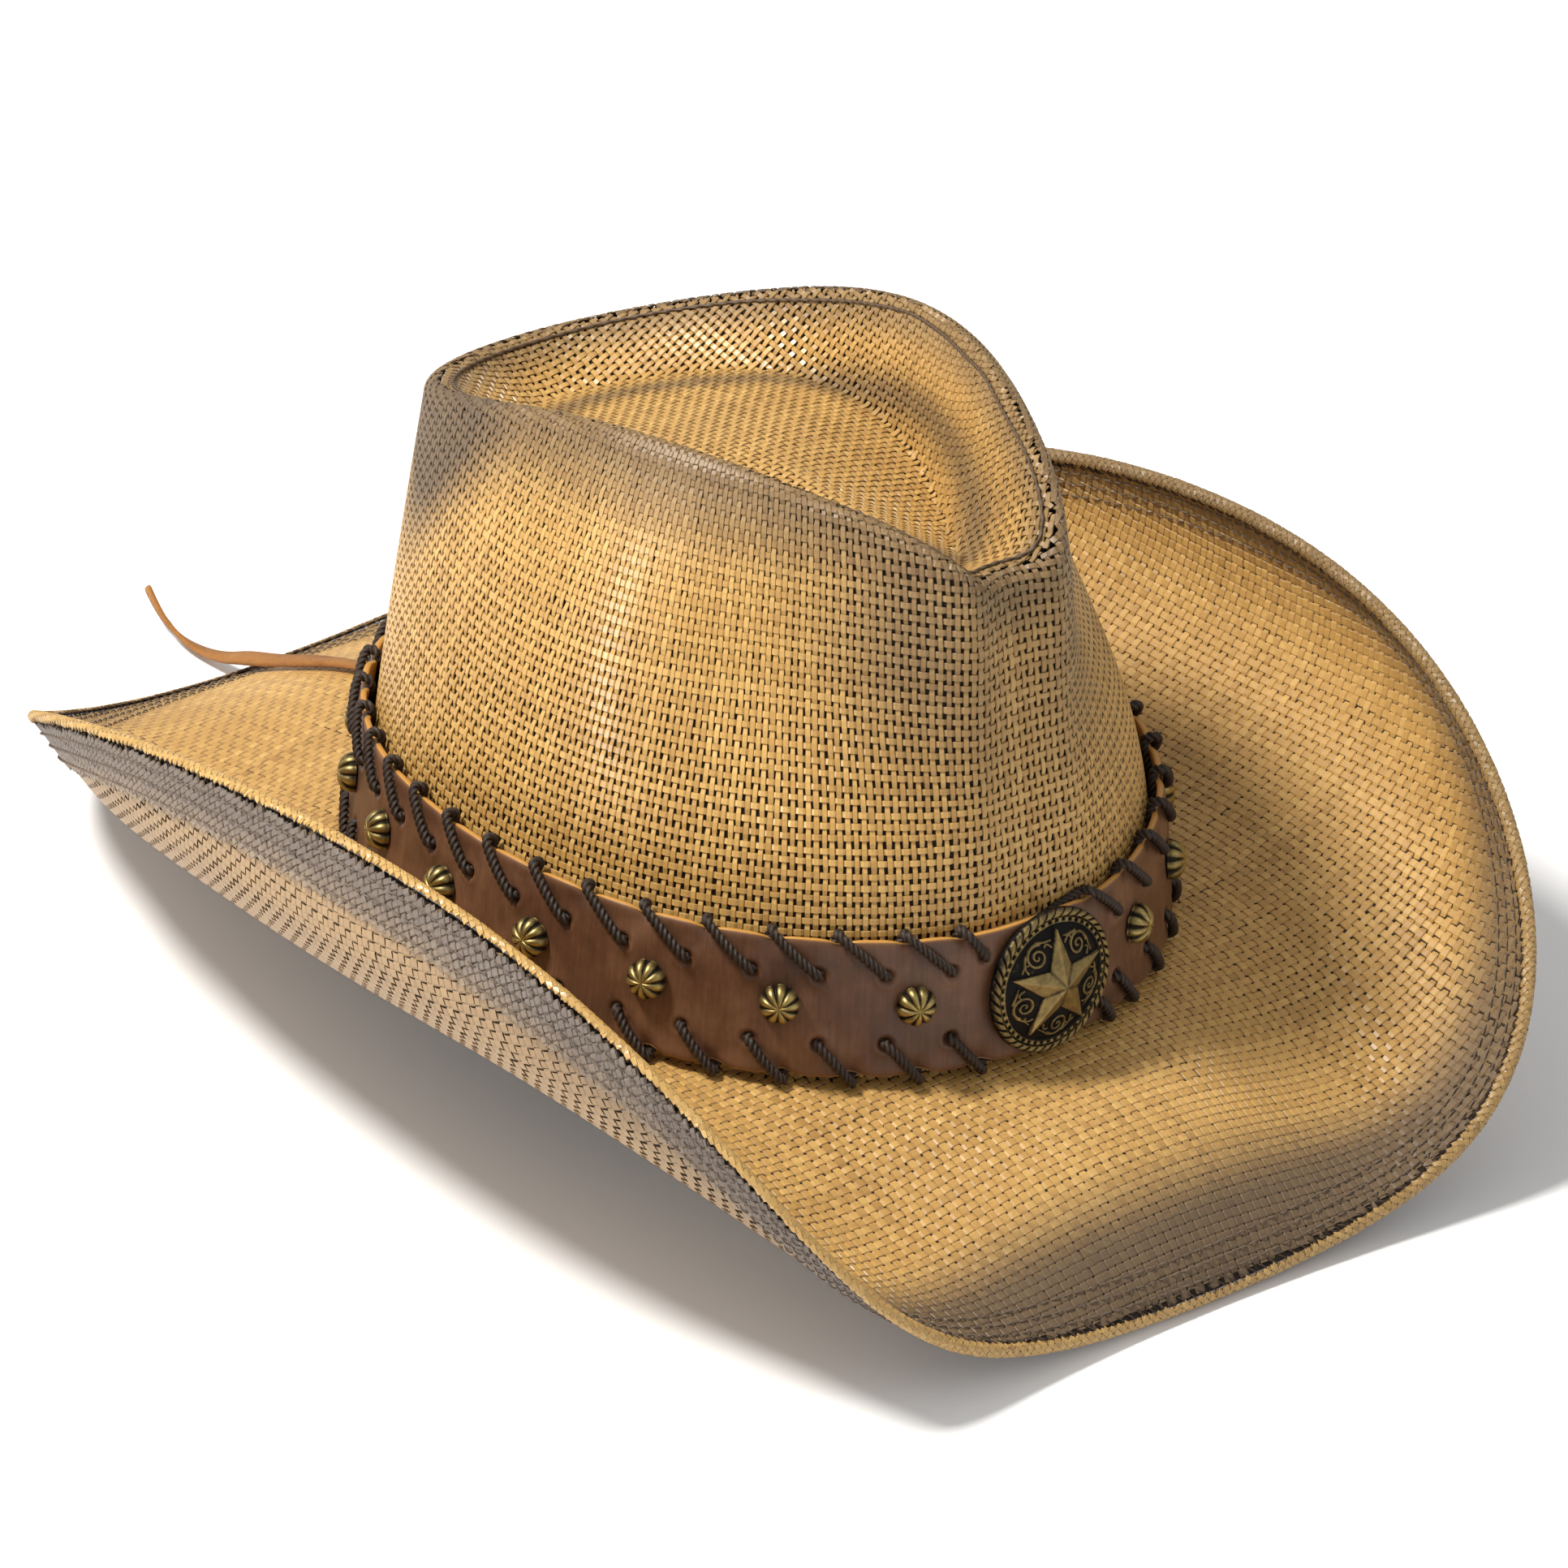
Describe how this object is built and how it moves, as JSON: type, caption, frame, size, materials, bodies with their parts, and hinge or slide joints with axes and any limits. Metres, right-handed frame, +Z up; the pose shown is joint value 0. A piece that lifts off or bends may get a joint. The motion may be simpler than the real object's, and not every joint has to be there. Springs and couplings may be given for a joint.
{
  "type": "cowboy hat",
  "caption": "Western straw hat with a pinched crown, rolled wired brim and a lift-off laced leather hatband with studs and a star concho.",
  "frame": {"origin": "on the rest plane, under the middle of the brim", "axes": "+Z up, the front of the hat faces -Y, the wearer's right is -X"},
  "size_m": [0.2894, 0.4007, 0.1699],
  "materials": {
    "crown_straw": "woven, lacquered, sprayed darker along the ridge",
    "seam_straw": "woven, sprayed dark",
    "brim_straw": "woven, lacquered, sprayed darker towards the edge",
    "edge_straw": "rolled strand with dark stitches",
    "seam_thread": "thread",
    "sweatband_leather": "smooth",
    "shaping_wire": "bright wire",
    "strap_leather": "burnished brown with a tan raw edge",
    "waxed_cord": "twisted and waxed",
    "suede_lace": "suede",
    "antique_brass": "antiqued, dark in the recesses"
  },
  "bodies": {
    "hat": {"crown_side": "crown_straw", "crown_tip": "crown_straw", "tip_seam": "seam_straw", "sweatband": "sweatband_leather", "sweatband_stitching": "seam_thread", "brim": "brim_straw", "brim_hem": "brim_straw", "hem_stitching": "seam_thread", "brim_wire": "shaping_wire", "edge_binding": "edge_straw"},
    "hatband": {"hatband_strap": "strap_leather", "upper_lacing": "waxed_cord", "lower_lacing": "waxed_cord", "tie_lace": "suede_lace", "tie_tail": "suede_lace", "stud_01": "antique_brass", "stud_02": "antique_brass", "stud_03": "antique_brass", "stud_04": "antique_brass", "stud_05": "antique_brass", "stud_06": "antique_brass", "stud_07": "antique_brass", "stud_08": "antique_brass", "stud_09": "antique_brass", "stud_10": "antique_brass", "stud_11": "antique_brass", "stud_12": "antique_brass", "stud_13": "antique_brass", "stud_14": "antique_brass", "stud_15": "antique_brass", "stud_16": "antique_brass", "stud_17": "antique_brass", "stud_18": "antique_brass", "concho": "antique_brass", "concho_screw": "antique_brass"}
  },
  "joints": [
    {"name": "hatband_lift", "type": "slide", "parent": "hat", "child": "hatband", "axis": [0, 0, 1], "range_m": [0, 0.135]}
  ]
}
